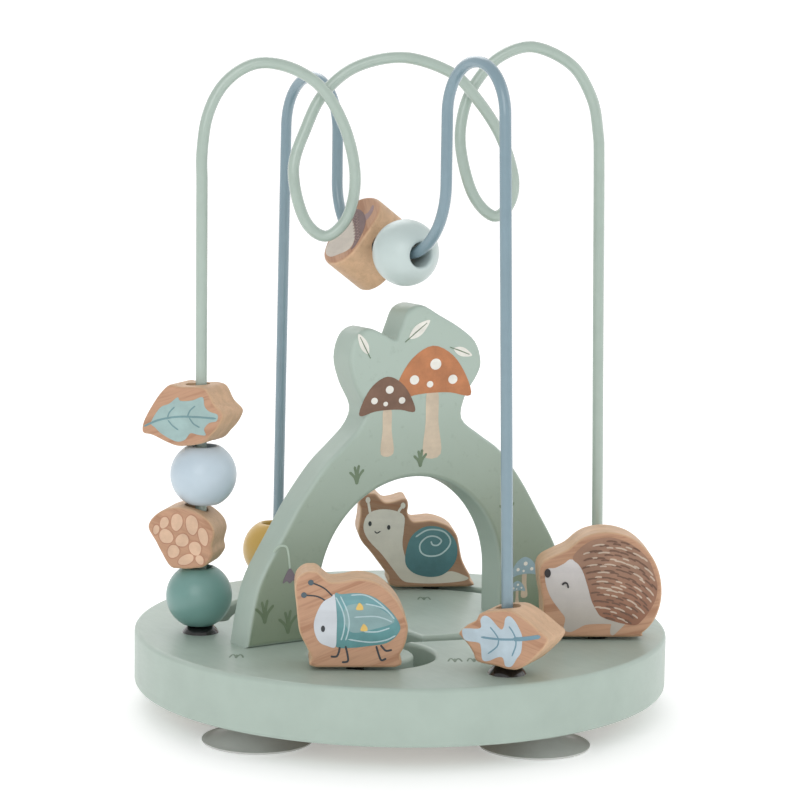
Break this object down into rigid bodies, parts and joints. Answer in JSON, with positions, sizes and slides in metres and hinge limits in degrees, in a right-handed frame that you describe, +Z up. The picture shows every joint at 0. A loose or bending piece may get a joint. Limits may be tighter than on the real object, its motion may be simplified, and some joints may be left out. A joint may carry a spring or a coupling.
{
  "type": "bead maze",
  "caption": "Toddler's wooden bead maze: round base on suction cups with a slotted track and sliding animal figures, an arch board, and bent wires carrying ball, leaf, cone and acorn beads.",
  "frame": {"origin": "middle of the base disc, at the height of the table under the suction cups", "axes": "+Z up, -Y out of the printed front of the arch, +X to the right seen from that front"},
  "size_m": [0.18, 0.1829, 0.2239],
  "materials": {
    "base_paint": "satin paint over wood with fine grain",
    "cover_board": "bare fibreboard",
    "screw_steel": "zinc plated",
    "arch_paint": "satin paint with a printed front",
    "dowel_wood": "bare beech",
    "loop_coat": "satin coating",
    "dip_coat": "satin coating",
    "plug_black": "gloss",
    "cup_soft": "soft translucent",
    "teal_paint": "satin paint",
    "cone_print": "beech with a printed face",
    "sky_paint": "satin paint",
    "green_leaf_print": "beech with a printed face",
    "blue_leaf_print": "beech with a printed face",
    "yellow_paint": "satin paint",
    "mint_paint": "satin paint",
    "acorn_print": "beech with a printed face",
    "figure_wood": "beech with printed faces",
    "sleeve_black": "matte"
  },
  "bodies": {
    "stand": {"base_disc": "base_paint", "base_cover": "cover_board", "cover_screw_1": "screw_steel", "cover_screw_2": "screw_steel", "cover_screw_3": "screw_steel", "cover_screw_4": "screw_steel", "track_island": "base_paint", "island_screw": "screw_steel", "arch": "arch_paint", "arch_dowel_left": "dowel_wood", "arch_dowel_right": "dowel_wood", "loop_wire": "loop_coat", "dip_wire": "dip_coat", "plug_left": "plug_black", "plug_right": "plug_black", "plug_front": "plug_black", "plug_back": "plug_black", "cup_right": "cup_soft", "cup_back": "cup_soft", "cup_left": "cup_soft", "cup_front": "cup_soft"},
    "teal_ball": {"teal_ball": "teal_paint"},
    "pine_cone": {"pine_cone": "cone_print"},
    "sky_ball": {"sky_ball": "sky_paint"},
    "green_leaf": {"green_leaf": "green_leaf_print"},
    "blue_leaf": {"blue_leaf": "blue_leaf_print"},
    "yellow_ball": {"yellow_ball": "yellow_paint"},
    "mint_ball": {"mint_ball": "mint_paint"},
    "acorn": {"acorn": "acorn_print"},
    "beetle": {"beetle": "figure_wood", "beetle_sleeve": "sleeve_black", "beetle_screw": "screw_steel"},
    "snail": {"snail": "figure_wood", "snail_sleeve": "sleeve_black", "snail_screw": "screw_steel"},
    "hedgehog": {"hedgehog": "figure_wood", "hedgehog_sleeve": "sleeve_black", "hedgehog_screw": "screw_steel"}
  },
  "joints": [
    {"name": "teal_ball_slide", "type": "slide", "parent": "stand", "child": "teal_ball", "axis": [0, 0, 1], "range_m": [0, 0.017]},
    {"name": "pine_cone_slide", "type": "slide", "parent": "teal_ball", "child": "pine_cone", "axis": [0, 0, 1], "range_m": [0, 0.017]},
    {"name": "sky_ball_slide", "type": "slide", "parent": "pine_cone", "child": "sky_ball", "axis": [0, 0, 1], "range_m": [0, 0.017]},
    {"name": "green_leaf_slide", "type": "slide", "parent": "sky_ball", "child": "green_leaf", "axis": [0, 0, 1], "range_m": [0, 0.017]},
    {"name": "blue_leaf_slide", "type": "slide", "parent": "stand", "child": "blue_leaf", "axis": [0.0013, 0.0426, 0.9991], "range_m": [0, 0.14]},
    {"name": "yellow_ball_slide", "type": "slide", "parent": "stand", "child": "yellow_ball", "axis": [-0.0008, -0.0264, 0.9997], "range_m": [0, 0.13]},
    {"name": "mint_ball_climb", "type": "hinge", "parent": "stand", "child": "mint_ball", "pos_m": [-0.00674, -0.01026, 0.17849], "axis": [-0.9995, 0.0314, 0], "range_deg": [0, 60]},
    {"name": "acorn_climb", "type": "hinge", "parent": "stand", "child": "acorn", "pos_m": [-0.00598, 0.01393, 0.17539], "axis": [0.9995, -0.0314, 0], "range_deg": [0, 55]},
    {"name": "beetle_ring", "type": "hinge", "parent": "stand", "child": "beetle", "pos_m": [-0.03204, -0.03204, 0.027], "axis": [0, 0, 1], "range_deg": [-53, 24]},
    {"name": "snail_track", "type": "hinge", "parent": "stand", "child": "snail", "pos_m": [0, 0, 0.027], "axis": [0, 0, 1], "range_deg": [-19, 13]},
    {"name": "hedgehog_track", "type": "slide", "parent": "stand", "child": "hedgehog", "axis": [-0.8746, 0.4848, 0], "range_m": [0, 0.042]}
  ]
}
